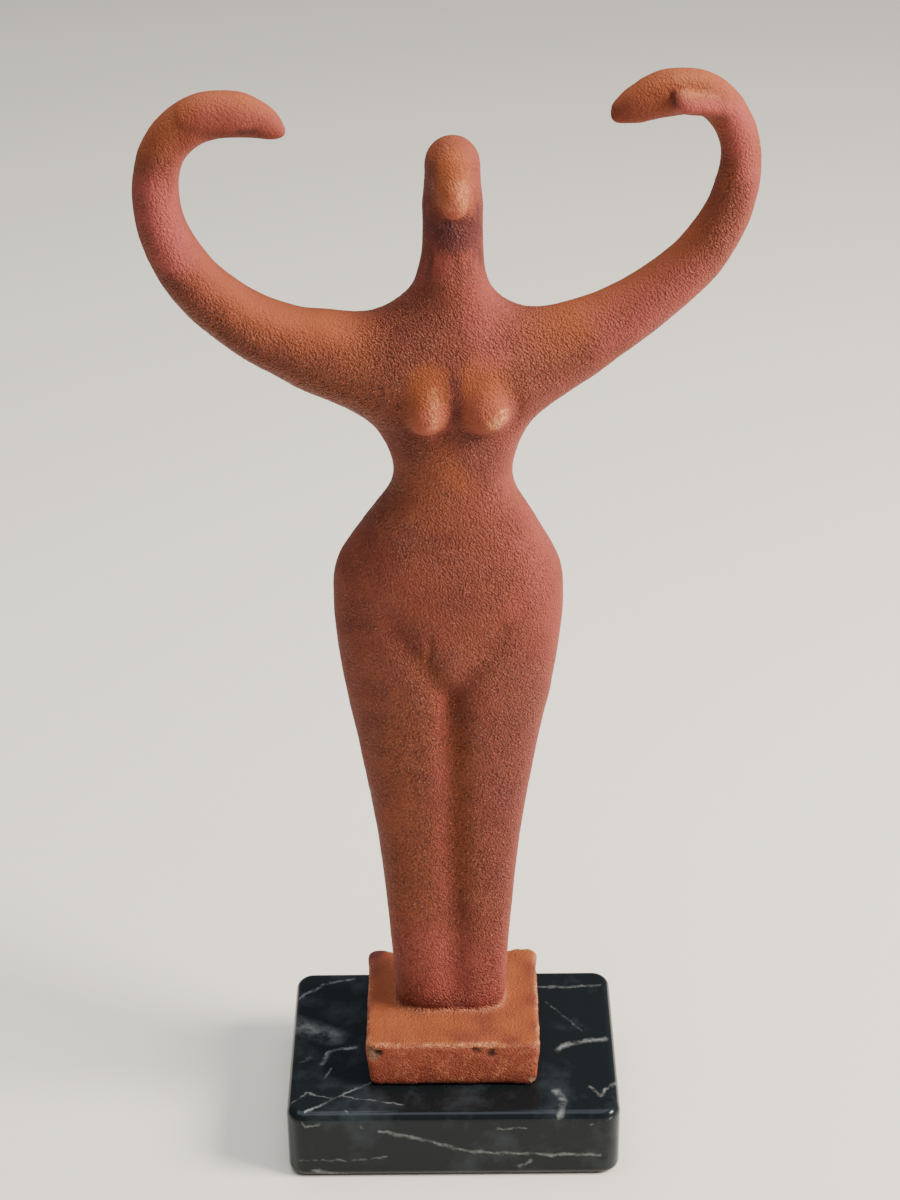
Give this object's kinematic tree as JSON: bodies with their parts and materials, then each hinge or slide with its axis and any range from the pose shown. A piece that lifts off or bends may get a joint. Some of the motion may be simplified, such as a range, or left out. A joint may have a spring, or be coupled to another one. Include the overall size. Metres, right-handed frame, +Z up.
{
  "type": "bird-headed goddess figurine on a base",
  "caption": "Standing bird-headed figurine with raised, inward-curving arms, cast with its block and set on a rounded black marble slab; a shelf ornament.",
  "frame": {"origin": "middle of the slab's underside", "axes": "+Z up, the figure's front towards -Y, +X to the viewer's right"},
  "size_m": [0.1613, 0.07, 0.3309],
  "materials": {
    "cast_stone": "matt, stippled, terracotta-coloured wash",
    "black_marble": "polished, with thin pale veins"
  },
  "bodies": {
    "root": {"figurine": "cast_stone", "marble_base": "black_marble"}
  },
  "joints": []
}
